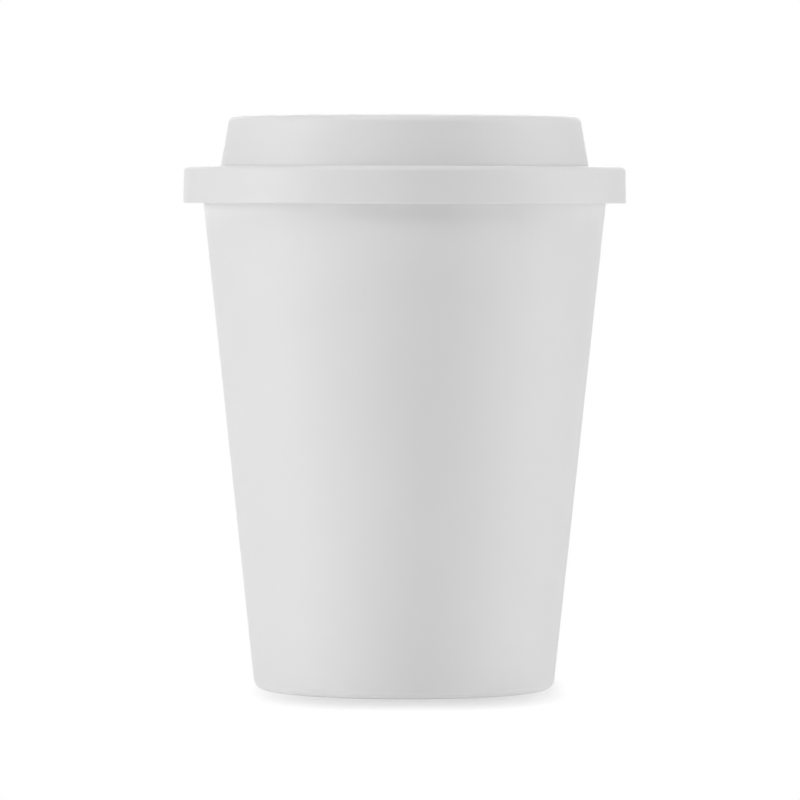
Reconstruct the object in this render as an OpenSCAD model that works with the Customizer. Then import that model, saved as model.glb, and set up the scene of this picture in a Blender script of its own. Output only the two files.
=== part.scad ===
// Double-walled plastic drinking cup with a push-on sipping lid.
// The outer cup and the inner cup are welded at the rim, with an air space between them.
// The lid snaps over the rim and lifts straight off.
// All sizes are in millimetres. The cup stands on z = 0, with its axis on z, and the sipping slot is at -y.

/* [Outer cup] */
// Height of the cup without its lid, from the table to the brim
cup_h = 104.6; // [90:0.1:130]
// Outside diameter of the outer wall at its upper edge, under the rim
top_d = 82.7; // [78:0.1:92]
// Outside diameter that the outer wall's slope would have at the table
base_d = 60.8; // [54:0.1:66]
// Thickness of the outer wall
outer_wall = 1.6; // [1.2:0.1:2.2]
// Thickness of the outer cup's floor
outer_floor = 1.8; // [1.2:0.1:3]
// Radius of the rounded edge round the base, outside and inside
base_round = 2.1; // [1:0.1:2.4]
// Width of the foot ring, from the outer wall inwards
foot_w = 4.6; // [3.6:0.1:8]
// Height of the foot ring under the floor
foot_h = 1; // [0.6:0.1:2]

/* [Inner cup] */
// Thickness of the inner wall
liner_wall = 1.5; // [1.1:0.1:2]
// Thickness of the inner cup's floor
liner_floor = 1.6; // [1.2:0.1:3]
// Air space between the two walls at the top
air_gap_top = 1; // [0.7:0.1:1.6]
// Air space between the two walls at the inner floor
air_gap_base = 3; // [1:0.1:5]
// Air space between the two floors
floor_gap = 4.2; // [2:0.1:10]
// Radius of the inside corner between wall and floor
corner_round = 5; // [2:0.5:10]

/* [Rim] */
// Thickness of the rim's top over the outer wall's edge
rim_t = 1.6; // [1.2:0.1:2.4]
// Thickness of the rim's outer hook, which hides the weld
hook_t = 1; // [0.8:0.1:1.5]
// Height of the rim's outer face, from the brim to the hook's lower edge
hook_h = 3.6; // [3:0.1:4.4]
// Depth of the ring that centres the outer wall in the rim
spigot_h = 2.4; // [1.5:0.1:6]
// Clearance at each side of the outer wall's edge in the rim
weld_gap = 0.1; // [0.05:0.01:0.2]
// Radius of the brim's rounded edges
brim_round = 1.4; // [0.8:0.1:1.5]

/* [Lid] */
// Thickness of the lid's walls
lid_wall = 1.5; // [1.2:0.1:1.8]
// Height of the band that covers the rim
skirt_h = 7.4; // [7:0.1:9]
// Draft angle of the band's outer face
skirt_draft = 1.2; // [0:0.1:3]
// Radius of the band's upper edge
ledge_round = 0.9; // [0.4:0.1:1.3]
// How much lower the ledge is at the band than at the raised part
ledge_fall = 0.1; // [0:0.05:0.3]
// Height of the raised part over the band
dome_h = 10.45; // [8:0.05:16]
// How far the foot of the raised part stands out past the mouth
dome_over = 0.15; // [0:0.05:0.4]
// Draft angle of the raised part's side
dome_draft = 10; // [4:0.5:14]
// Width of the drinking lip round the top
lip_w = 7; // [5.6:0.1:9]
// How much lower the drinking lip is at its outer edge than at its inner edge
lip_fall = 0.4; // [0:0.05:0.8]
// Radius of the drinking lip's edges
lip_round = 1.5; // [0.8:0.1:1.8]
// Depth of the recess inside the drinking lip
recess_depth = 5; // [3.5:0.1:6]
// Draft angle of the recess's side
recess_draft = 8; // [2:1:15]
// Radius round the recess's floor
recess_round = 1.2; // [0.5:0.1:2]

/* [Lid fit] */
// Clearance between the brim and the lid that rests on it
seat_gap = 0.1; // [0.05:0.01:0.3]
// Depth of the ring that plugs the mouth
plug_h = 4.6; // [3.6:0.1:8]
// Thickness of that ring
plug_wall = 1.2; // [0.9:0.1:1.4]
// Clearance between that ring and the inner wall
plug_gap = 0.6; // [0.4:0.05:0.9]
// Clearance between the sealing bead and the inner wall
seal_gap = 0.15; // [0.05:0.01:0.3]
// Radius of the sealing bead's section
bead_r = 0.6; // [0.5:0.05:0.7]
// Height of the sealing bead over the ring's lower edge
bead_up = 1.2; // [0.8:0.1:2]
// How many snap lugs grip under the rim
lug_count = 8; // [3:1:12]
// Length of each lug round the band, in degrees
lug_span = 14; // [6:1:24]
// Height of each lug
lug_h = 1.5; // [1:0.1:2]
// How far each lug stands out from the band
lug_depth = 0.85; // [0.5:0.05:1]
// Clearance between the lugs and the rim's outer face
lug_gap = 0.2; // [0.1:0.01:0.4]

/* [Sipping slot and vent] */
// Width of the sipping slot
slot_w = 5.5; // [4:0.1:7]
// Length of the slot between the centres of its round ends, in degrees
slot_span = 34; // [16:1:60]
// Distance from the recess's side to the slot
slot_margin = 1.9; // [1.5:0.1:6]
// Diameter of the air vent
vent_d = 2.5; // [1.5:0.1:4]
// Distance from the recess's side to the vent
vent_margin = 3.5; // [2:0.1:10]
// Radius of the edges of the slot and the vent
hole_round = 0.45; // [0.2:0.05:0.6]

/* [Moulding marks] */
// Diameter of the round gate dimples
gate_d = 5; // [3:0.5:10]
// Depth of the gate dimples
gate_depth = 0.4; // [0.2:0.1:0.8]

/* [Hidden] */
plastic_white = [0.89, 0.89, 0.89];
$fn = 180;
// Angle that one straight step of a rounded corner turns through
arc_step = 7.5;
// Rounding of the mouldings' small edges
edge_round = 0.3;
// Straight steps in each rounded edge of a hole
hole_steps = 4;
// Overlap of solids that are fused, so that no two faces merely touch
sink = 0.3;

// Heights
shell_top_z = cup_h - rim_t;
shell_floor_z = foot_h + outer_floor;
liner_z = shell_floor_z + floor_gap;
liner_floor_z = liner_z + liner_floor;
hook_z = cup_h - hook_h;
spigot_z = shell_top_z - spigot_h;
plate_z = cup_h + seat_gap;
ledge_z = plate_z + lid_wall;
skirt_z = ledge_z - skirt_h;
band_z = ledge_z - ledge_fall;
lid_top_z = ledge_z + dome_h;
lip_z = lid_top_z - lip_fall;
deck_z = lid_top_z - recess_depth;
plug_z = plate_z - plug_h;

// Radii
foot_in_r = base_d / 2 - foot_w;
hook_in_r = top_d / 2 + weld_gap;
hook_r = hook_in_r + hook_t;
mouth_r = top_d / 2 - outer_wall - air_gap_top - liner_wall;
floor_r = wall_r(liner_floor_z) - outer_wall - air_gap_base - liner_wall;
lug_r = hook_r + lug_gap;
skirt_in_r = lug_r + lug_depth;
skirt_r = skirt_in_r + lid_wall;
dome_r = mouth_r + dome_over;
dome_wall = lid_wall / cos(dome_draft);
dome_top_r = dome_r - (lip_z - ledge_z) * tan(dome_draft);
lip_in_r = dome_top_r - lip_w;
deck_r = lip_in_r - recess_depth * tan(recess_draft);
slot_r = deck_r - slot_margin - slot_w / 2;
vent_r = deck_r - vent_margin - vent_d / 2;

// Radii by height: the outer wall's outside, the inner wall's inside and the plug ring's outside
function wall_r(z) = base_d / 2 + (top_d - base_d) / 2 * z / shell_top_z;
function bore_r(z) = floor_r + (mouth_r - floor_r) * (z - liner_floor_z) / (cup_h - liner_floor_z);
function plug_r(z) = bore_r(z) - plug_gap;

// Points of an outline whose corners are [radius from the axis, height, rounding]
function flat(p) = [p[0], p[1]];
function unit(v) = v / norm(v);
function arc(centre, from, turn, steps) =
    [for (i = [0:steps]) let (a = atan2(from[1], from[0]) + turn * i / steps)
        centre + norm(from) * [cos(a), sin(a)]];
function corner(before, at, after) =
    let (
        u = unit(flat(before) - flat(at)),
        v = unit(flat(after) - flat(at)),
        half = acos(u * v) / 2,
        centre = flat(at) + unit(u + v) * at[2] / sin(half),
        from = flat(at) + u * at[2] / tan(half) - centre,
        to = flat(at) + v * at[2] / tan(half) - centre,
        turn = atan2(from[0] * to[1] - from[1] * to[0], from * to)
    )
    arc(centre, from, turn, ceil(abs(turn) / arc_step));
function rounded(corners) =
    let (n = len(corners))
    [for (i = [0:n - 1])
        each (corners[i][2] > 0
            ? corner(corners[(i + n - 1) % n], corners[i], corners[(i + 1) % n])
            : [flat(corners[i])])];

// A closed outline turned about the cup's axis
module turned(corners) {
    rotate_extrude() polygon(rounded(corners));
}

// A round dimple in a downward face at height z, as the moulding gate leaves
module gate_dimple(z) {
    translate([0, 0, z - sink]) cylinder(d = gate_d, h = sink + gate_depth);
}

// Outer cup: one moulding with a sloping wall, a floor and a foot ring
module outer_cup() {
    color(plastic_white) difference() {
        turned([
            [0, foot_h, 0],
            [foot_in_r - foot_h, foot_h, edge_round],
            [foot_in_r, 0, edge_round],
            [base_d / 2, 0, base_round],
            [top_d / 2, shell_top_z, 0],
            [top_d / 2 - outer_wall, shell_top_z, 0],
            [wall_r(shell_floor_z) - outer_wall, shell_floor_z, base_round],
            [0, shell_floor_z, 0]
        ]);
        gate_dimple(foot_h);
    }
}

// Inner cup: one moulding with the wall that holds the drink, the rim and the hook over the outer wall
module inner_cup() {
    color(plastic_white) turned([
        [0, liner_z, 0],
        [bore_r(liner_z) + liner_wall, liner_z, corner_round + liner_wall],
        [bore_r(spigot_z - air_gap_top) + liner_wall, spigot_z - air_gap_top, 0],
        [wall_r(spigot_z) - outer_wall - weld_gap, spigot_z, 0],
        [wall_r(shell_top_z) - outer_wall - weld_gap, shell_top_z, 0],
        [hook_in_r, shell_top_z, 0],
        [hook_in_r, hook_z, edge_round],
        [hook_r, hook_z, edge_round],
        [hook_r, cup_h, brim_round],
        [mouth_r, cup_h, brim_round],
        [floor_r, liner_floor_z, corner_round],
        [0, liner_floor_z, 0]
    ]);
}

// Lid walls: band, ledge, raised side, drinking lip, recessed deck and the ring that plugs the mouth
module lid_walls() {
    turned([
        [0, deck_z, 0],
        [deck_r, deck_z, recess_round],
        [lip_in_r, lid_top_z, lip_round],
        [dome_top_r, lip_z, lip_round],
        [dome_r, ledge_z, edge_round],
        [skirt_r - (band_z - skirt_z) * tan(skirt_draft), band_z, ledge_round],
        [skirt_r, skirt_z, edge_round],
        [skirt_in_r, skirt_z, edge_round],
        [skirt_in_r, plate_z, edge_round],
        [plug_r(plate_z), plate_z, edge_round],
        [plug_r(plug_z), plug_z, edge_round],
        [plug_r(plug_z) - plug_wall, plug_z, edge_round],
        [dome_r - dome_wall, ledge_z, 0],
        [dome_top_r - dome_wall + lid_wall * tan(dome_draft), lip_z - lid_wall, edge_round],
        [lip_in_r + dome_wall - lid_wall * tan(recess_draft), lid_top_z - lid_wall, edge_round],
        [deck_r + dome_wall - lid_wall * tan(recess_draft), deck_z - lid_wall, recess_round],
        [0, deck_z - lid_wall, 0]
    ]);
}

// Half-round bead round the plug ring, which seals against the inner wall
module sealing_bead() {
    z = plug_z + bead_up;
    rotate_extrude() translate([bore_r(z) - seal_gap - bead_r, z]) circle(r = bead_r);
}

// Short lugs inside the band's lower edge, which snap under the rim's hook
module snap_lugs() {
    low_z = skirt_z + edge_round;
    ramp = lug_depth / 2;
    for (i = [0:lug_count - 1])
        rotate([0, 0, (i + 0.5) * 360 / lug_count - lug_span / 2])
            rotate_extrude(angle = lug_span)
                polygon([
                    [skirt_in_r + sink, low_z],
                    [skirt_in_r, low_z],
                    [lug_r, low_z + ramp],
                    [lug_r, low_z + lug_h - ramp],
                    [skirt_in_r, low_z + lug_h],
                    [skirt_in_r + sink, low_z + lug_h]
                ]);
}

// Side of a hole through the deck with its two edges rounded, from below the deck to above it
function hole_side(half_w) =
    let (
        low = deck_z - lid_wall,
        out = half_w + hole_round
    )
    concat(
        [[out, low - sink]],
        arc([out, low + hole_round], [0, -hole_round], -90, hole_steps),
        arc([out, deck_z - hole_round], [-hole_round, 0], -90, hole_steps),
        [[out, deck_z + sink]]
    );

// Half of such a hole's section, from the hole's middle outwards
function hole_half(half_w) =
    concat([[0, deck_z + sink], [0, deck_z - lid_wall - sink]], hole_side(half_w));

// Sipping slot: an arc-shaped slot with round ends, at the front of the deck
module sipping_slot() {
    side = hole_side(slot_w / 2);
    rotate([0, 0, -90 - slot_span / 2]) rotate_extrude(angle = slot_span)
        polygon(concat(
            [for (p = side) [slot_r + p[0], p[1]]],
            [for (i = [len(side) - 1:-1:0]) [slot_r - side[i][0], side[i][1]]]
        ));
    for (turn = [0, 180])
        rotate([0, 0, -90 + (turn == 0 ? slot_span : -slot_span) / 2]) translate([slot_r, 0, 0])
            rotate([0, 0, turn]) rotate_extrude(angle = 180) polygon(hole_half(slot_w / 2));
}

// Air vent: a small round hole at the back of the deck
module air_vent() {
    translate([0, vent_r, 0]) rotate_extrude() polygon(hole_half(vent_d / 2));
}

// Lid: one moulding
module lid() {
    color(plastic_white) difference() {
        union() {
            lid_walls();
            sealing_bead();
            snap_lugs();
        }
        sipping_slot();
        air_vent();
        gate_dimple(deck_z - lid_wall);
    }
}

outer_cup();
inner_cup();
lid();
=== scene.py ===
# %% [markdown]
# A reusable coffee cup of white plastic, made of three mouldings: an outer cup, an inner cup welded
# to it at the rim with air between them, and a lid that snaps over the rim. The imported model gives
# every piece its place and size, so it is loaded first and never moved.

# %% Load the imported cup
import math

import bmesh
import bpy
from mathutils import Matrix, Vector


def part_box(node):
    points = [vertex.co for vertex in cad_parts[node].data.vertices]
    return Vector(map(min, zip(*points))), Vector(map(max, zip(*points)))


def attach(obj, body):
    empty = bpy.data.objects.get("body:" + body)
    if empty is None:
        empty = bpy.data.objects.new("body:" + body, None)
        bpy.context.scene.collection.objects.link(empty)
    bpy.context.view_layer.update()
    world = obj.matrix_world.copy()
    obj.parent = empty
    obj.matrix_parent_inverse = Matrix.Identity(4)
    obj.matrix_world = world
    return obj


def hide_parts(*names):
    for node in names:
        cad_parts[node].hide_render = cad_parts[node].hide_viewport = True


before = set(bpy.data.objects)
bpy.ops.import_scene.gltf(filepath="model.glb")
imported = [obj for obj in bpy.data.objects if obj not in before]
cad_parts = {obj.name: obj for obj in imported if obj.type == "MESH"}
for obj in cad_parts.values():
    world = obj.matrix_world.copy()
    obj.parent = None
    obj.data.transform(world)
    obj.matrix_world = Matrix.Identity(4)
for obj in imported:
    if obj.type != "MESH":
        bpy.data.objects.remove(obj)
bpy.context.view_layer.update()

print("packed pieces:", ", ".join(sorted(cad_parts)))

# %% [markdown]
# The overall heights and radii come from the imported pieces. What a box can't tell, such as a wall's
# thickness or the rounding of an edge, is a named value in millimetres, as on a moulder's drawing,
# and stands in the step that first needs it. Outlines are drawn in millimetres too, and become
# metres only when a mesh is made from them.

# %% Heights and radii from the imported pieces
MM = 0.001


def node_sizes(node):
    """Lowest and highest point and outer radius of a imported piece, in millimetres."""
    low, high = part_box(node)
    return low.z / MM, high.z / MM, high.x / MM


FOOT_Z, SHELL_TOP_Z, SHELL_TOP_R = node_sizes("outer_cup")
LINER_Z, BRIM_Z, HOOK_R = node_sizes("inner_cup")
SKIRT_Z, LID_Z, SKIRT_R = node_sizes("lid")
print(f"outer wall up to {SHELL_TOP_Z:.1f} mm, brim at {BRIM_Z:.1f}, lid up to {LID_Z:.1f}")

# %% [markdown]
# All three mouldings are turned shapes: one outline, carried round the cup's axis. The outline is a
# list of corners, each with its rounding, because that is how such a part is dimensioned, and it
# keeps the plastic on its left, so that the faces point out of it. A rounded corner becomes an arc.
# Smooth shading bends the light near every arc, so each long straight run gets a ring close to both
# of its ends, which keeps the bend out of the flat part.

# %% Outlines with rounded corners
ARC_STEP = math.radians(7.5)
EDGE_ROUND = 0.3
# A run over LONG_RUN gets rings: one HOLD from each of its ends, and more about RING_STEP apart
HOLD = 0.2
LONG_RUN = 6 * HOLD
RING_STEP = 8.0


def arc(centre, start, turn):
    """Points of an arc round a centre, from a starting offset through a turn in radians."""
    steps = math.ceil(abs(turn) / ARC_STEP)
    return [centre + Matrix.Rotation(turn * k / steps, 2) @ start for k in range(steps + 1)]


def corner_arc(before, corner, after):
    """The arc that rounds a corner (distance, height, rounding) between its two neighbours."""
    at = Vector(corner[:2])
    back = (Vector(before[:2]) - at).normalized()
    ahead = (Vector(after[:2]) - at).normalized()
    half = back.angle(ahead) / 2
    centre = at + (back + ahead).normalized() * corner[2] / math.sin(half)
    left_turn = back.x * ahead.y - back.y * ahead.x < 0
    turn = math.pi - 2 * half
    return arc(centre, at + back * corner[2] / math.tan(half) - centre, turn if left_turn else -turn)


def rounded(corners):
    """An open outline: its two ends stay, and the corners between them are rounded."""
    points = [Vector(corners[0][:2])]
    for before, corner, after in zip(corners, corners[1:], corners[2:]):
        points += corner_arc(before, corner, after) if corner[2] else [Vector(corner[:2])]
    return points + [Vector(corners[-1][:2])]


def with_rings(points):
    """The outline with a point close to both ends of each long run, and more between them."""
    out = [points[0]]
    for start, end in zip(points, points[1:]):
        run = (end - start).length
        if run > LONG_RUN:
            inner = run - 2 * HOLD
            pieces = max(1, round(inner / RING_STEP))
            out += [start.lerp(end, (HOLD + inner * k / pieces) / run) for k in range(pieces + 1)]
        out.append(end)
    return out


print("an edge of 90 degrees gets", math.ceil(math.radians(90) / ARC_STEP), "steps")

# %% [markdown]
# Geometry Nodes do the turning. The tree lays a grid with one row for each place on a rim and one
# column for each point of the outline, and moves every grid point to: the place on the rim, plus
# the outline's distance along the outward direction there, plus the outline's height. With all
# places on the axis and directions round a circle this turns a cup. With places round the edge of
# the sipping slot it makes the slot's rounded wall, so one tree serves every wall of the object.

# %% Helpers for building node trees
def add(tree, kind, inputs=None, **settings):
    """A new node with its settings; each input is a value or the socket that feeds it."""
    node = tree.nodes.new(kind)
    for name, value in settings.items():
        setattr(node, name, value)
    for key, source in (inputs or {}).items():
        if isinstance(source, bpy.types.NodeSocket):
            tree.links.new(source, node.inputs[key])
        else:
            node.inputs[key].default_value = source
    return node


def maths(tree, operation, *values, kind="ShaderNodeMath"):
    """The result of one sum, on floats unless another kind of maths node is named."""
    return add(tree, kind, dict(enumerate(values)), operation=operation).outputs[0]


def new_tree(name, **sockets):
    """A Geometry Nodes tree with named inputs and one mesh output, with its input sockets."""
    tree = bpy.data.node_groups.new(name, "GeometryNodeTree")
    for title, kind in sockets.items():
        tree.interface.new_socket(title, in_out="INPUT", socket_type="NodeSocket" + kind)
    tree.interface.new_socket("Mesh", in_out="OUTPUT", socket_type="NodeSocketGeometry")
    return tree, tree.nodes.new("NodeGroupInput").outputs


def finish_tree(tree, mesh):
    """Joins the last mesh to the tree's output."""
    add(tree, "NodeGroupOutput", {"Mesh": mesh})
    return tree


def named(tree, name, kind):
    """An attribute of the geometry that is being read."""
    reader = add(tree, "GeometryNodeInputNamedAttribute", {"Name": name}, data_type=kind)
    return reader.outputs["Attribute"]


# %% The tree that carries an outline round a rim
def sweep_tree():
    """Outline points hold (distance, 0, height) and `lug`; rim points hold `outward` and `grip`."""
    tree, given = new_tree("Outline round a rim", Outline="Geometry", Rim="Geometry")
    outline, rim = given["Outline"], given["Rim"]

    def count(geometry):
        sizes = add(tree, "GeometryNodeAttributeDomainSize", {"Geometry": geometry})
        return sizes.outputs["Point Count"]

    def whole(operation, a, b):
        return maths(tree, operation, a, b, kind="FunctionNodeIntegerMath")

    def sample(geometry, value, index, kind="FLOAT_VECTOR"):
        links = {"Geometry": geometry, "Value": value, "Index": index}
        return add(tree, "GeometryNodeSampleIndex", links, data_type=kind).outputs["Value"]

    across, around = count(outline), count(rim)
    size = {"Vertices X": whole("ADD", around, 1), "Vertices Y": across}
    grid = add(tree, "GeometryNodeMeshGrid", size).outputs["Mesh"]
    index = add(tree, "GeometryNodeInputIndex").outputs[0]
    place = whole("MODULO", whole("DIVIDE", index, across), around)
    point = whole("MODULO", index, across)
    position = add(tree, "GeometryNodeInputPosition").outputs[0]
    drawn = add(tree, "ShaderNodeSeparateXYZ", {0: sample(outline, position, point)}).outputs
    lug = sample(outline, named(tree, "lug", "FLOAT"), point, "FLOAT")
    grip = sample(rim, named(tree, "grip", "FLOAT"), place, "FLOAT")
    distance = maths(tree, "SUBTRACT", drawn["X"], maths(tree, "MULTIPLY", lug, grip))
    outward = sample(rim, named(tree, "outward", "FLOAT_VECTOR"), place)
    stretch = {0: outward, "Scale": distance}
    reach = add(tree, "ShaderNodeVectorMath", stretch, operation="SCALE").outputs[0]
    height = add(tree, "ShaderNodeCombineXYZ", {"Z": drawn["Z"]}).outputs[0]
    base = maths(tree, "ADD", sample(rim, position, place), height, kind="ShaderNodeVectorMath")
    moved = {"Geometry": grid, "Position": maths(tree, "ADD", base, reach, kind="ShaderNodeVectorMath")}
    return finish_tree(tree, add(tree, "GeometryNodeSetPosition", moved).outputs[0])


SWEEP = sweep_tree()
print("sweep tree:", len(SWEEP.nodes), "nodes")

# %% [markdown]
# Every moulding ends in the same way: the seam where the last row meets the first is merged, and so
# is the pole where the outline touches the axis, then the mesh is shaded smooth and gets its plastic.

# %% Finish of a moulding, and the tree of a plain turned one
MERGE = 1e-6


def swept(tree, outline, rim):
    """The sweep as one node of another tree."""
    return add(tree, "GeometryNodeGroup", {"Outline": outline, "Rim": rim}, node_tree=SWEEP).outputs[0]


def merged(tree, mesh):
    return add(tree, "GeometryNodeMergeByDistance", {"Geometry": mesh, "Distance": MERGE}).outputs[0]


def moulded(tree, mesh, plastic):
    """The closed mesh, shaded smooth, with its material."""
    smooth = add(tree, "GeometryNodeSetShadeSmooth", {"Geometry": merged(tree, mesh)}).outputs[0]
    real = add(tree, "GeometryNodeRealizeInstances", {"Geometry": smooth}).outputs[0]
    return add(tree, "GeometryNodeSetMaterial", {"Geometry": real, "Material": plastic}).outputs[0]


def shape_of(tree, socket):
    """The geometry of an object that is given to the tree."""
    return add(tree, "GeometryNodeObjectInfo", {"Object": socket}).outputs["Geometry"]


def turned_tree():
    tree, given = new_tree("Turned moulding", Outline="Geometry", Rim="Object", Plastic="Material")
    wall = swept(tree, given["Outline"], shape_of(tree, given["Rim"]))
    return finish_tree(tree, moulded(tree, wall, given["Plastic"]))


TURNED = turned_tree()
print("turned tree:", len(TURNED.nodes), "nodes")

# %% [markdown]
# A tree can't take a list of points as an input, but it can read an object. So each outline and each
# rim becomes a guide: a chain of points that carries what else the tree must know of each point as
# an attribute. The guides are only there until the mouldings are made.

# %% Outlines and rims as objects that a tree can read
def in_scene(name, mesh):
    """A new object at the origin, in the scene."""
    piece = bpy.data.objects.new(name, mesh)
    bpy.context.scene.collection.objects.link(piece)
    return piece


def guide(name, places, **attributes):
    """A chain of points with attributes on them."""
    mesh = bpy.data.meshes.new(name)
    mesh.from_pydata(places, [(k, k + 1) for k in range(len(places) - 1)], [])
    for title, values in attributes.items():
        vectors = isinstance(values[0], Vector)
        store = mesh.attributes.new(title, "FLOAT_VECTOR" if vectors else "FLOAT", "POINT")
        for item, value in zip(store.data, values):
            setattr(item, "vector" if vectors else "value", value)
    return in_scene(name, mesh)


def outline_guide(name, points, lugs=None):
    """An outline drawn in millimetres, with how far a lug stands in at each of its points."""
    places = [Vector((point.x, 0, point.y)) * MM for point in points]
    return guide(name, places, lug=[lug * MM for lug in lugs or [0] * len(points)])


def rim_guide(name, places, angles, grips=None):
    """Places on a rim in millimetres, anticlockwise, each with the angle that faces outwards."""
    outward = [Vector((math.cos(angle), math.sin(angle), 0)) for angle in angles]
    places = [Vector((*place, 0)) * MM for place in places]
    return guide(name, places, outward=outward, grip=grips or [0.0] * len(angles))


def whole_turn(steps, first=0.0, turn=2 * math.pi):
    """Angles at equal steps through a turn, without the last one, where the next turn starts."""
    return [first + turn * k / steps for k in range(steps)]


TURN_STEPS = 240
AXIS = rim_guide("axis_rim", [(0, 0)] * TURN_STEPS, whole_turn(TURN_STEPS))
print("the cup is turned in", TURN_STEPS, "steps")

# %% [markdown]
# A modifier runs a tree on its outline, and takes each input by the socket's identifier. What a
# modifier makes isn't a mesh of the object's own, so the result is copied into a plain mesh, which
# can ride on a body and be exported. A good moulding has no open edge, and its volume times the
# plastic's density is its weight, so both are printed.

# %% Running a tree and measuring what it made
CM3 = (10 * MM) ** 3


def made(start, tree, name, **values):
    """Runs a tree on a guide and keeps the result as a plain mesh object of that name."""
    modifier = start.modifiers.new(tree.name, "NODES")
    modifier.node_group = tree
    inputs = [item for item in tree.interface.items_tree if item.in_out == "INPUT"]
    sockets = {item.name: item.identifier for item in inputs}
    for title, value in values.items():
        modifier[sockets[title]] = value
    now = bpy.context.evaluated_depsgraph_get()
    mesh = bpy.data.meshes.new_from_object(start.evaluated_get(now), depsgraph=now)
    mesh.name = name
    bpy.data.objects.remove(start)
    return in_scene(name, mesh)


def measured(piece):
    """Prints a piece's solid volume and its open edges, which should be none."""
    solid = bmesh.new()
    solid.from_mesh(piece.data)
    volume = solid.calc_volume(signed=True) / CM3
    open_edges = sum(not edge.is_contiguous for edge in solid.edges)
    print(f"{piece.name}: {volume:.2f} cm3, {len(solid.faces)} faces, {open_edges} open edges")
    solid.free()
    return piece


# %% [markdown]
# The plastic is satin white polypropylene. Seen close, such a moulding isn't one flat colour: the
# mould's spark-eroded face leaves a fine even grain, the sheen changes a little where the melt
# flowed, and the white clouds very faintly. Noise on object coordinates makes all three at their
# real scale, so they stay on the plastic from every side. The drinking side of the inner cup comes
# off a polished core and is glossier, so the two cups and the lid get finishes of their own.

# %% Satin white plastic
WHITE = 0.8
CLOUD_DEPTH = 0.02
CLOUDS_PER_M = 45.0
CLOUD_DETAIL = 2.0
SHEEN_SPREAD = 0.05
SHEEN_PER_M = 260.0
SHEEN_DETAIL = 3.0
GRAIN_PER_M = 2600.0
GRAIN_DETAIL = 2.0
PLASTIC_IOR = 1.49
# Nearly all values of a noise lie between these two
NOISE_LOW, NOISE_HIGH = 0.3, 0.7
# Roughness of the sheen, and depth of the grain in millimetres
SATIN = (0.55, 0.004)
POLISHED = (0.35, 0.002)


def noise(tree, coordinates, scale, detail):
    """A noise with that many cells to the metre, and with finer noise in it for each detail."""
    inputs = {"Vector": coordinates, "Scale": scale, "Detail": detail}
    return add(tree, "ShaderNodeTexNoise", inputs).outputs["Fac"]


def spread(tree, value, low, high):
    """Maps a noise to the range from a low to a high value."""
    noisy = {"Value": value, "From Min": NOISE_LOW, "From Max": NOISE_HIGH}
    wanted = {"To Min": low, "To Max": high}
    return add(tree, "ShaderNodeMapRange", noisy | wanted).outputs["Result"]


def white_plastic(name, roughness, grain_depth):
    """White plastic with a sheen of that roughness and a grain of that depth in millimetres."""
    plastic = bpy.data.materials.new(name)
    plastic.use_nodes = True
    tree = plastic.node_tree
    shader = tree.nodes["Principled BSDF"]
    where = add(tree, "ShaderNodeTexCoord").outputs["Object"]
    clouds = noise(tree, where, CLOUDS_PER_M, CLOUD_DETAIL)
    shade = spread(tree, clouds, WHITE * (1 - CLOUD_DEPTH), WHITE)
    colour = add(tree, "ShaderNodeCombineColor", {0: shade, 1: shade, 2: shade}).outputs[0]
    tree.links.new(colour, shader.inputs["Base Color"])
    sheen = noise(tree, where, SHEEN_PER_M, SHEEN_DETAIL)
    rough = spread(tree, sheen, roughness - SHEEN_SPREAD, roughness + SHEEN_SPREAD)
    tree.links.new(rough, shader.inputs["Roughness"])
    grain = noise(tree, where, GRAIN_PER_M, GRAIN_DETAIL)
    relief = {"Height": grain, "Strength": 1.0, "Distance": grain_depth * MM}
    bump = add(tree, "ShaderNodeBump", relief)
    tree.links.new(bump.outputs["Normal"], shader.inputs["Normal"])
    shader.inputs["IOR"].default_value = PLASTIC_IOR
    plastic.diffuse_color = (WHITE, WHITE, WHITE, 1)
    return plastic


SHELL_PLASTIC = white_plastic("satin_white_outer_cup", *SATIN)
LINER_PLASTIC = white_plastic("polished_white_inner_cup", *POLISHED)
LID_PLASTIC = white_plastic("satin_white_lid", *SATIN)
print("finishes:", ", ".join(m.name for m in (SHELL_PLASTIC, LINER_PLASTIC, LID_PLASTIC)))

# %% [markdown]
# The outer cup is one moulding: a sloping wall, a floor, a foot ring that it stands on, and a round
# dimple under the floor where the melt came in. It could be a cylinder with a tapered top and a
# Solidify modifier, but a turned outline gives the wall, the foot and the rounded base at once.

# %% Outer cup
BASE_R = 30.4
OUTER_WALL = 1.6
OUTER_FLOOR = 1.8
BASE_ROUND = 2.1
FOOT_W = 4.6
FOOT_H = 1.0
GATE_R = 2.5
GATE_DEPTH = 0.4
GATE_ROUND = 0.1
FOOT_IN_R = BASE_R - FOOT_W
SHELL_FLOOR_Z = FOOT_H + OUTER_FLOOR


def wall_r(z):
    """Outside radius of the outer wall."""
    return BASE_R + (SHELL_TOP_R - BASE_R) * z / SHELL_TOP_Z


def gate_corners(z):
    """The dimple in a downward face, from the axis to the face round it."""
    top = z + GATE_DEPTH
    return [(0, top, 0), (GATE_R, top, GATE_ROUND), (GATE_R, z, GATE_ROUND)]


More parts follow.
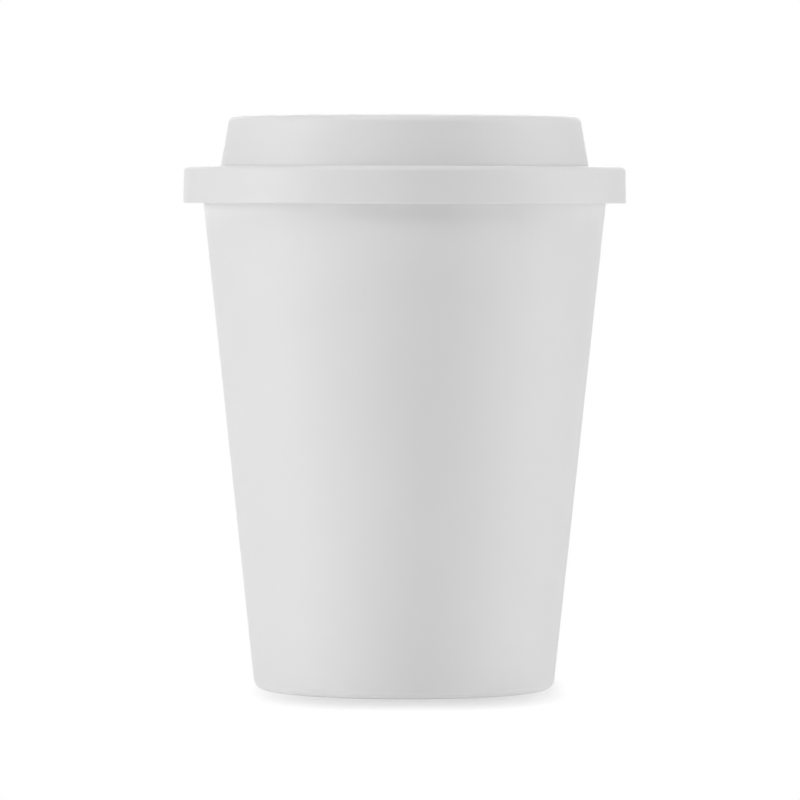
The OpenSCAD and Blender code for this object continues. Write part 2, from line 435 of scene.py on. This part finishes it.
outer_corners = gate_corners(FOOT_Z + FOOT_H) + [
    (FOOT_IN_R - FOOT_H, FOOT_H, EDGE_ROUND),
    (FOOT_IN_R, FOOT_Z, EDGE_ROUND),
    (BASE_R, FOOT_Z, BASE_ROUND),
    (SHELL_TOP_R, SHELL_TOP_Z, 0),
    (SHELL_TOP_R - OUTER_WALL, SHELL_TOP_Z, 0),
    (wall_r(SHELL_FLOOR_Z) - OUTER_WALL, SHELL_FLOOR_Z, BASE_ROUND),
    (0, SHELL_FLOOR_Z, 0),
]
outer_outline = outline_guide("outer_cup_outline", with_rings(rounded(outer_corners)))
outer_shell = measured(made(outer_outline, TURNED, "outer_cup_shell", Rim=AXIS, Plastic=SHELL_PLASTIC))

# %% [markdown]
# The inner cup holds the drink. Its rim reaches over the edge of the outer wall and down its
# outside, as a hook that hides the weld, and the air space between the walls narrows from the floor
# to the rim. It is turned in the same way, from an outline that follows the wall's inner face.

# %% Inner cup
LINER_WALL = 1.5
LINER_FLOOR = 1.6
AIR_GAP_TOP = 1.0
AIR_GAP_BASE = 3.0
CORNER_ROUND = 5.0
HOOK_T = 1.0
HOOK_H = 3.6
SPIGOT_H = 2.4
WELD_GAP = 0.1
BRIM_ROUND = 1.4
LINER_FLOOR_Z = LINER_Z + LINER_FLOOR
SPIGOT_Z = SHELL_TOP_Z - SPIGOT_H
HOOK_Z = BRIM_Z - HOOK_H
HOOK_IN_R = HOOK_R - HOOK_T
MOUTH_R = SHELL_TOP_R - OUTER_WALL - AIR_GAP_TOP - LINER_WALL
FLOOR_R = wall_r(LINER_FLOOR_Z) - OUTER_WALL - AIR_GAP_BASE - LINER_WALL


def bore_r(z):
    """Inside radius of the inner wall."""
    return FLOOR_R + (MOUTH_R - FLOOR_R) * (z - LINER_FLOOR_Z) / (BRIM_Z - LINER_FLOOR_Z)


def spigot_r(z):
    """Outside radius of the ring that centres the outer wall in the rim."""
    return wall_r(z) - OUTER_WALL - WELD_GAP


inner_corners = [
    (0, LINER_Z, 0),
    (bore_r(LINER_Z) + LINER_WALL, LINER_Z, CORNER_ROUND + LINER_WALL),
    (bore_r(SPIGOT_Z - AIR_GAP_TOP) + LINER_WALL, SPIGOT_Z - AIR_GAP_TOP, 0),
    (spigot_r(SPIGOT_Z), SPIGOT_Z, 0),
    (spigot_r(SHELL_TOP_Z), SHELL_TOP_Z, 0),
    (HOOK_IN_R, SHELL_TOP_Z, 0),
    (HOOK_IN_R, HOOK_Z, EDGE_ROUND),
    (HOOK_R, HOOK_Z, EDGE_ROUND),
    (HOOK_R, BRIM_Z, BRIM_ROUND),
    (MOUTH_R, BRIM_Z, BRIM_ROUND),
    (FLOOR_R, LINER_FLOOR_Z, CORNER_ROUND),
    (0, LINER_FLOOR_Z, 0),
]
inner_outline = outline_guide("inner_cup_outline", with_rings(rounded(inner_corners)))
inner_liner = measured(made(inner_outline, TURNED, "inner_cup_liner", Rim=AXIS, Plastic=LINER_PLASTIC))

# %% [markdown]
# The lid is one moulding too, but it isn't quite round. A slot to drink from and an air vent go
# through its deck, and eight short lugs inside its band snap under the rim. Its outline leaves the
# middle of the deck open, for the holes. A bead stands out of the ring that plugs the mouth, as an
# arc let into the outline. Each point of the outline also says how far a lug stands in there, and
# each place on the rim says whether it is at a lug, and the sweep takes the product of the two off
# the distance from the axis.

# %% Sizes of the lid
LID_WALL = 1.5
SKIRT_H = 7.4
SKIRT_DRAFT = math.radians(1.2)
LEDGE_ROUND = 0.9
LEDGE_FALL = 0.1
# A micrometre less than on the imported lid, so that the top stays inside its box
DOME_H = 10.449
DOME_OVER = 0.15
DOME_DRAFT = math.radians(10)
LIP_W = 7.0
LIP_FALL = 0.4
LIP_ROUND = 1.5
RECESS_DEPTH = 5.0
RECESS_DRAFT = math.radians(8)
RECESS_ROUND = 1.2
PLUG_H = 4.6
PLUG_WALL = 1.2
PLUG_GAP = 0.6
LEDGE_Z = SKIRT_Z + SKIRT_H
BAND_Z = LEDGE_Z - LEDGE_FALL
PLATE_Z = LEDGE_Z - LID_WALL
PLUG_Z = PLATE_Z - PLUG_H
LID_TOP_Z = LEDGE_Z + DOME_H
LIP_Z = LID_TOP_Z - LIP_FALL
DECK_Z = LID_TOP_Z - RECESS_DEPTH
UNDERSIDE_Z = DECK_Z - LID_WALL
SKIRT_IN_R = SKIRT_R - LID_WALL
DOME_R = MOUTH_R + DOME_OVER
DOME_WALL = LID_WALL / math.cos(DOME_DRAFT)
DOME_TOP_R = DOME_R - (LIP_Z - LEDGE_Z) * math.tan(DOME_DRAFT)
LIP_IN_R = DOME_TOP_R - LIP_W
DECK_R = LIP_IN_R - RECESS_DEPTH * math.tan(RECESS_DRAFT)
RECESS_WALL = DOME_WALL - LID_WALL * math.tan(RECESS_DRAFT)
DECK_EDGE_R = DECK_R - RECESS_ROUND
print(f"lid: ledge at {LEDGE_Z:.1f} mm, deck at {DECK_Z:.1f}, {DECK_R:.1f} mm in radius")

# %% Bead and lugs
BEAD_R = 0.6
BEAD_UP = 1.2
SEAL_GAP = 0.15
LUG_COUNT = 8
LUG_SPAN = math.radians(14)
LUG_H = 1.5
LUG_DEPTH = 0.85
LUG_ROUND = 0.15
LUG_LOW_Z = SKIRT_Z + EDGE_ROUND


def plug_r(z):
    """Outside radius of the ring that plugs the mouth."""
    return bore_r(z) - PLUG_GAP


def bead_arc():
    """The bead's half round, from where it leaves the plug ring's face to where it meets it again."""
    z = PLUG_Z + BEAD_UP
    centre = Vector((bore_r(z) - SEAL_GAP - BEAD_R, z))
    half = math.acos((plug_r(z) - centre.x) / BEAD_R)
    start = Matrix.Rotation(-half, 2) @ Vector((BEAD_R, 0))
    return arc(centre, start, 2 * half)


def lug_profile():
    """Points (how far in, height) down the band's inner face past a lug."""
    ramp = LUG_DEPTH / 2
    return rounded([
        (0, LUG_LOW_Z + LUG_H + LUG_ROUND, 0),
        (0, LUG_LOW_Z + LUG_H, LUG_ROUND),
        (LUG_DEPTH, LUG_LOW_Z + LUG_H - ramp, LUG_ROUND),
        (LUG_DEPTH, LUG_LOW_Z + ramp, LUG_ROUND),
        (0, LUG_LOW_Z, 0),
    ])


def grip_at(angle):
    """1 at a lug, 0 between lugs, with an end one step of the turning long."""
    pitch = 2 * math.pi / LUG_COUNT
    off = abs(angle % pitch - pitch / 2)
    return min(1.0, max(0.0, (LUG_SPAN / 2 - off) * TURN_STEPS / (2 * math.pi) + 0.5))


bead = bead_arc()
lug_points = lug_profile()
print(f"bead of {len(bead)} points, lug of {len(lug_points)} points, {LUG_COUNT} lugs round the band")

# %% Outline of the lid
under_corners = [
    (DECK_EDGE_R, UNDERSIDE_Z, 0),
    (DECK_R + RECESS_WALL, UNDERSIDE_Z, RECESS_ROUND),
    (LIP_IN_R + RECESS_WALL, LID_TOP_Z - LID_WALL, EDGE_ROUND),
    (DOME_TOP_R - DOME_WALL + LID_WALL * math.tan(DOME_DRAFT), LIP_Z - LID_WALL, EDGE_ROUND),
    (DOME_R - DOME_WALL, LEDGE_Z, 0),
    (plug_r(PLUG_Z) - PLUG_WALL, PLUG_Z, EDGE_ROUND),
    (plug_r(PLUG_Z), PLUG_Z, EDGE_ROUND),
    (*bead[0], 0),
]
seat_corners = [
    (*bead[-1], 0),
    (plug_r(PLATE_Z), PLATE_Z, EDGE_ROUND),
    (SKIRT_IN_R, PLATE_Z, EDGE_ROUND),
    (SKIRT_IN_R, lug_points[0].y, 0),
]
upper_corners = [
    (SKIRT_IN_R, LUG_LOW_Z, 0),
    (SKIRT_IN_R, SKIRT_Z, EDGE_ROUND),
    (SKIRT_R, SKIRT_Z, EDGE_ROUND),
    (SKIRT_R - (BAND_Z - SKIRT_Z) * math.tan(SKIRT_DRAFT), BAND_Z, LEDGE_ROUND),
    (DOME_R, LEDGE_Z, EDGE_ROUND),
    (DOME_TOP_R, LIP_Z, LIP_ROUND),
    (LIP_IN_R, LID_TOP_Z, LIP_ROUND),
    (DECK_R, DECK_Z, RECESS_ROUND),
    (DECK_EDGE_R, DECK_Z, 0),
]
before_lugs = with_rings(rounded(under_corners)) + bead[1:-1] + with_rings(rounded(seat_corners))
at_lugs = [Vector((SKIRT_IN_R, point.y)) for point in lug_points[1:-1]]
after_lugs = with_rings(rounded(upper_corners))
lid_lugs = [0] * len(before_lugs) + [point.x for point in lug_points[1:-1]] + [0] * len(after_lugs)
lid_outline = outline_guide("lid_outline", before_lugs + at_lugs + after_lugs, lid_lugs)
lug_angles = whole_turn(TURN_STEPS)
LID_RIM = rim_guide("lid_rim", [(0, 0)] * TURN_STEPS, lug_angles, [grip_at(a) for a in lug_angles])
print("lid outline:", len(lid_lugs), "points")

# %% [markdown]
# A hole through the deck has one rounded side, which the same sweep carries round the hole's edge:
# a circle for the vent, and two arcs and two half turns for the slot. Then both faces of the deck
# are still open. The lid's tree finds the open edges at each of the two heights, turns them into
# curves and fills between them, which leaves the slot and the vent free. The fill comes out facing
# up, so the underside's is flipped.

# %% Slot, vent and gate dimple
SLOT_W = 5.5
SLOT_SPAN = math.radians(34)
SLOT_MARGIN = 1.9
VENT_R = 1.25
VENT_MARGIN = 3.5
HOLE_ROUND = 0.45
FRONT = math.radians(-90)
SLOT_R = DECK_R - SLOT_MARGIN - SLOT_W / 2
VENT_Y = DECK_R - VENT_MARGIN - VENT_R
# A narrow flat round each hole, where the face that fills the deck begins
FLAT_W = 0.12
# Steps along one side of the slot, round one of its ends, and round a whole hole
SIDE_STEPS = 30
END_STEPS = 18
HOLE_STEPS = 48


def spot(radius, angle, centre=(0, 0)):
    """The place at a distance and an angle from a centre."""
    return centre[0] + radius * math.cos(angle), centre[1] + radius * math.sin(angle)


def slot_rim():
    """The slot's edge: out along the front, round one end, back, and round the other end."""
    half = SLOT_W / 2
    first, last = FRONT - SLOT_SPAN / 2, FRONT + SLOT_SPAN / 2
    front = whole_turn(SIDE_STEPS, first, SLOT_SPAN)
    back = whole_turn(SIDE_STEPS, last, -SLOT_SPAN)
    right = whole_turn(END_STEPS, last, math.pi)
    left = whole_turn(END_STEPS, first + math.pi, math.pi)
    places = [spot(SLOT_R + half, angle) for angle in front]
    places += [spot(half, angle, spot(SLOT_R, last)) for angle in right]
    places += [spot(SLOT_R - half, angle) for angle in back]
    places += [spot(half, angle, spot(SLOT_R, first)) for angle in left]
    return rim_guide("slot_rim", places, front + right + [angle + math.pi for angle in back] + left)


def vent_rim():
    around = whole_turn(HOLE_STEPS)
    return rim_guide("vent_rim", [spot(VENT_R, angle, (0, VENT_Y)) for angle in around], around)


hole_side = with_rings(rounded([
    (HOLE_ROUND + FLAT_W, DECK_Z, 0),
    (0, DECK_Z, HOLE_ROUND),
    (0, UNDERSIDE_Z, HOLE_ROUND),
    (HOLE_ROUND + FLAT_W, UNDERSIDE_Z, 0),
]))
dimple_corners = gate_corners(UNDERSIDE_Z) + [(GATE_R + GATE_ROUND + FLAT_W, UNDERSIDE_Z, 0)]
dimple = with_rings(rounded(dimple_corners))
HOLES = {
    "Side": outline_guide("hole_side", hole_side),
    "Slot": slot_rim(),
    "Vent": vent_rim(),
    "Dimple": outline_guide("gate_dimple", dimple),
    "Middle": rim_guide("dimple_rim", [(0, 0)] * HOLE_STEPS, whole_turn(HOLE_STEPS)),
}
print(f"slot {2 * SLOT_R * math.sin(SLOT_SPAN / 2) + SLOT_W:.1f} mm long, vent {2 * VENT_R} mm across")


# %% The lid's tree
# Edges that are this close to a height lie at it
LEVEL_GAP = 10 * MERGE


def filled(tree, walls, height, flip):
    """A flat face that closes the open edges of the walls at one height."""
    alone = add(tree, "GeometryNodeInputMeshEdgeNeighbors").outputs["Face Count"]
    opened = add(tree, "FunctionNodeCompare", {"A": alone, "B": 1}, data_type="INT", operation="EQUAL")
    place = add(tree, "GeometryNodeInputPosition").outputs[0]
    z = add(tree, "ShaderNodeSeparateXYZ", {0: place}).outputs["Z"]
    near = {"A": z, "B": height, "Epsilon": LEVEL_GAP}
    level = add(tree, "FunctionNodeCompare", near, data_type="FLOAT", operation="EQUAL")
    both = maths(tree, "AND", opened.outputs[0], level.outputs[0], kind="FunctionNodeBooleanMath")
    edges = add(tree, "GeometryNodeMeshToCurve", {"Mesh": walls, "Selection": both}).outputs[0]
    flat = add(tree, "GeometryNodeFillCurve", {"Curve": edges}).outputs[0]
    lift = add(tree, "ShaderNodeCombineXYZ", {"Z": height}).outputs[0]
    face = add(tree, "GeometryNodeSetPosition", {"Geometry": flat, "Offset": lift}).outputs[0]
    return add(tree, "GeometryNodeFlipFaces", {"Mesh": face}).outputs[0] if flip else face


def joined(tree, meshes):
    node = add(tree, "GeometryNodeJoinGeometry")
    for mesh in meshes:
        tree.links.new(mesh, node.inputs[0])
    return node.outputs[0]


def lid_tree():
    guides = {title: "Object" for title in HOLES}
    tree, given = new_tree("Lid", Outline="Geometry", Rim="Object", **guides,
                           Deck="Float", Underside="Float", Plastic="Material")
    shape = {title: shape_of(tree, given[title]) for title in ("Rim", *HOLES)}
    walls = merged(tree, joined(tree, [
        swept(tree, given["Outline"], shape["Rim"]),
        swept(tree, shape["Side"], shape["Slot"]),
        swept(tree, shape["Side"], shape["Vent"]),
        swept(tree, shape["Dimple"], shape["Middle"]),
    ]))
    top = filled(tree, walls, given["Deck"], False)
    under = filled(tree, walls, given["Underside"], True)
    return finish_tree(tree, moulded(tree, joined(tree, [walls, top, under]), given["Plastic"]))


LID_TREE = lid_tree()
lid_heights = {"Deck": DECK_Z * MM, "Underside": UNDERSIDE_Z * MM}
lid_moulding = measured(made(lid_outline, LID_TREE, "lid_moulding", Rim=LID_RIM, **HOLES,
                             **lid_heights, Plastic=LID_PLASTIC))

# %% [markdown]
# The guides have done their work and go. Each moulding takes the place of its imported solid and
# rides on that solid's body, so the lid lifts off.

# %% Give every moulding its body
for left_over in [AXIS, LID_RIM, *HOLES.values()]:
    bpy.data.objects.remove(left_over)
for piece, node, body in (
    (outer_shell, "outer_cup", "cup"),
    (inner_liner, "inner_cup", "cup"),
    (lid_moulding, "lid", "lid"),
):
    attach(piece, body)
    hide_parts(node)
    print(piece.name, "replaces", node, "and rides on", body)

# %% [markdown]
# The cup stands on a white floor before a white background. Both are white to the camera and in
# reflections, at a strength of 1, while the light that they give to the cup is set apart from that:
# none from the background, and a low glow from the floor, which lights the underside of the lid's
# band. In a rounded patch under the cup the floor shows real light and the cup's real shadow, and
# from there it fades to plain white. That fade and the patch's outline are painted shadow, which
# ends near the cup as the photograph's shadow does.

# %% White floor and background
BRIGHTEST = (1, 1, 1, 1)
FLOOR_SIZE = 8.0
FLOOR_WHITE = 0.8
# Glow of the floor, as the cup sees it and as the camera sees it in the patch
FLOOR_LIGHT = 0.28
FLOOR_GLOW = 0.18
# Centre and half size of the painted shadow patch, and the sums of cubes where its fade starts and ends
PAINTED_SHADOW_CENTRE = (0.001, 0, 0)
PAINTED_SHADOW_HALF = (0.032, 0.0583, 1)
PAINTED_SHADOW_EDGE = (0.16, 1.0)


def seen_directly(tree):
    """1 for rays from the camera, a reflection or a clear material, and 0 for other rays."""
    path = add(tree, "ShaderNodeLightPath").outputs
    mirrored = maths(tree, "MAXIMUM", path["Is Glossy Ray"], path["Is Transmission Ray"])
    return maths(tree, "MAXIMUM", path["Is Camera Ray"], mirrored)


def mixed(tree, factor, first, second):
    return add(tree, "ShaderNodeMixShader", {0: factor, 1: first, 2: second}).outputs[0]


def white_world():
    world = bpy.data.worlds.new("white_background")
    world.use_nodes = True
    tree = world.node_tree
    tree.nodes.clear()
    seen = add(tree, "ShaderNodeBackground", {"Color": BRIGHTEST, "Strength": seen_directly(tree)})
    add(tree, "ShaderNodeOutputWorld", {"Surface": seen.outputs[0]})
    return world


def white_floor():
    """White card with a glow that shows real light and shade in a patch, edged by a painted shadow fade
    to white.
    """
    surface = bpy.data.materials.new("white_floor")
    surface.use_nodes = True
    tree = surface.node_tree
    tree.nodes.clear()
    card = add(tree, "ShaderNodeBsdfDiffuse", {"Color": (FLOOR_WHITE,) * 3 + (1,)}).outputs[0]

    def glowing(strength):
        return add(tree, "ShaderNodeEmission", {"Color": BRIGHTEST, "Strength": strength}).outputs[0]

    near = add(tree, "ShaderNodeAddShader", {0: card, 1: glowing(FLOOR_GLOW)}).outputs[0]
    lit = add(tree, "ShaderNodeAddShader", {0: card, 1: glowing(FLOOR_LIGHT)}).outputs[0]
    where = add(tree, "ShaderNodeTexCoord").outputs["Object"]
    aside = maths(tree, "SUBTRACT", where, PAINTED_SHADOW_CENTRE, kind="ShaderNodeVectorMath")
    share = maths(tree, "DIVIDE", aside, PAINTED_SHADOW_HALF, kind="ShaderNodeVectorMath")
    squares = maths(tree, "MULTIPLY", share, share, kind="ShaderNodeVectorMath")
    sizes = maths(tree, "ABSOLUTE", share, kind="ShaderNodeVectorMath")
    # The sum of the squares would give an oval painted shadow patch. That of the cubes gives a squarer
    # one.
    cubes = {0: squares, 1: sizes}
    away = add(tree, "ShaderNodeVectorMath", cubes, operation="DOT_PRODUCT").outputs["Value"]
    # Painted shadow: the floor fades from its real light in the patch to plain white
    edge = {"Value": away, "From Min": PAINTED_SHADOW_EDGE[0], "From Max": PAINTED_SHADOW_EDGE[1]}
    painted_shadow_fade = add(tree, "ShaderNodeMapRange", edge).outputs["Result"]
    seen = mixed(tree, painted_shadow_fade, near, glowing(1.0))
    add(tree, "ShaderNodeOutputMaterial", {"Surface": mixed(tree, seen_directly(tree), lit, seen)})
    return surface


half = FLOOR_SIZE / 2
corners = [(-half, -half, 0), (half, -half, 0), (half, half, 0), (-half, half, 0)]
floor_mesh = bpy.data.meshes.new("floor")
floor_mesh.from_pydata(corners, [], [(0, 1, 2, 3)])
floor_mesh.materials.append(white_floor())
in_scene("floor", floor_mesh)
bpy.context.scene.world = white_world()
print("floor of", FLOOR_SIZE, "m, and a white world")

# %% [markdown]
# The photograph's light is broad and soft: a bright panel to the left, a weaker one to the right,
# and little from the front, which leaves a darker band down the middle of the cup. Low strips beside
# them give the light that a wide white table throws back at a low angle. It reaches in under the
# lid's band, where light from above would leave a hard dark line. The back panel hardly shows from
# the front, and keeps the cup as white from behind, where the photograph doesn't show it.

# %% Soft panels
AIM = Vector((0, 0, 0.06))
PANEL_AWAY = 1.1
UPRIGHT = (0.35, 0.5)
LARGE = (0.6, 0.6)
LOW = (0.35, 0.12)


def panel(name, azimuth, elevation, size, power):
    """A soft light that faces the cup; azimuth 0 is at the camera, 90 to its right."""
    lamp = bpy.data.lights.new(name, "AREA")
    lamp.shape = "RECTANGLE"
    lamp.size, lamp.size_y = size
    lamp.energy = power
    turn, rise = math.radians(azimuth), math.radians(elevation)
    away = Vector((math.sin(turn) * math.cos(rise), -math.cos(turn) * math.cos(rise), math.sin(rise)))
    light = in_scene(name, lamp)
    light.location = AIM + PANEL_AWAY * away
    light.rotation_euler = away.to_track_quat("Z", "Y").to_euler()
    return light


# Azimuth and elevation in degrees, size in metres and power in watts
PANELS = [
    panel("left_panel", -75, 10, UPRIGHT, 3.15),
    panel("right_panel", 90, 10, UPRIGHT, 2.05),
    panel("left_strip", -75, 0, LOW, 2.05),
    panel("front_right_strip", 45, 0, LOW, 1.2),
    panel("right_strip", 90, 0, LOW, 1.25),
    panel("front_panel", 0, 45, LARGE, 2.85),
    panel("top_panel", 0, 89, LARGE, 5.4),
    panel("back_panel", 180, 10, LARGE, 2.8),
]
print("panels:", ", ".join(f"{light.name} {light.data.energy} W" for light in PANELS))

# %% [markdown]
# The camera stands 1.35 m away, level with the rim and tipped down by less than 2 degrees, which is
# how the photograph shows the cup: the ledge of the lid is almost a line, and the base is a shallow
# curve. A long lens keeps the sides as straight as they are there.

# %% Camera
CAMERA_PLACE = (-0.00091, -1.354, 0.1025)
CAMERA_TIP = math.radians(1.85)
CAMERA_ROLL = math.radians(0.08)
CAMERA_LENS = 299.6

camera_data = bpy.data.cameras.new("camera")
camera_data.lens = CAMERA_LENS
camera = in_scene("camera", camera_data)
# An unturned camera looks straight down, and a quarter turn about X makes it look level
tipped = Matrix.Translation(CAMERA_PLACE) @ Matrix.Rotation(math.radians(90) - CAMERA_TIP, 4, "X")
camera.matrix_world = tipped @ Matrix.Rotation(CAMERA_ROLL, 4, "Z")
bpy.context.scene.camera = camera
bpy.context.scene.view_settings.view_transform = "Standard"
print(f"camera {abs(CAMERA_PLACE[1]):.2f} m away with a lens of {CAMERA_LENS} mm")
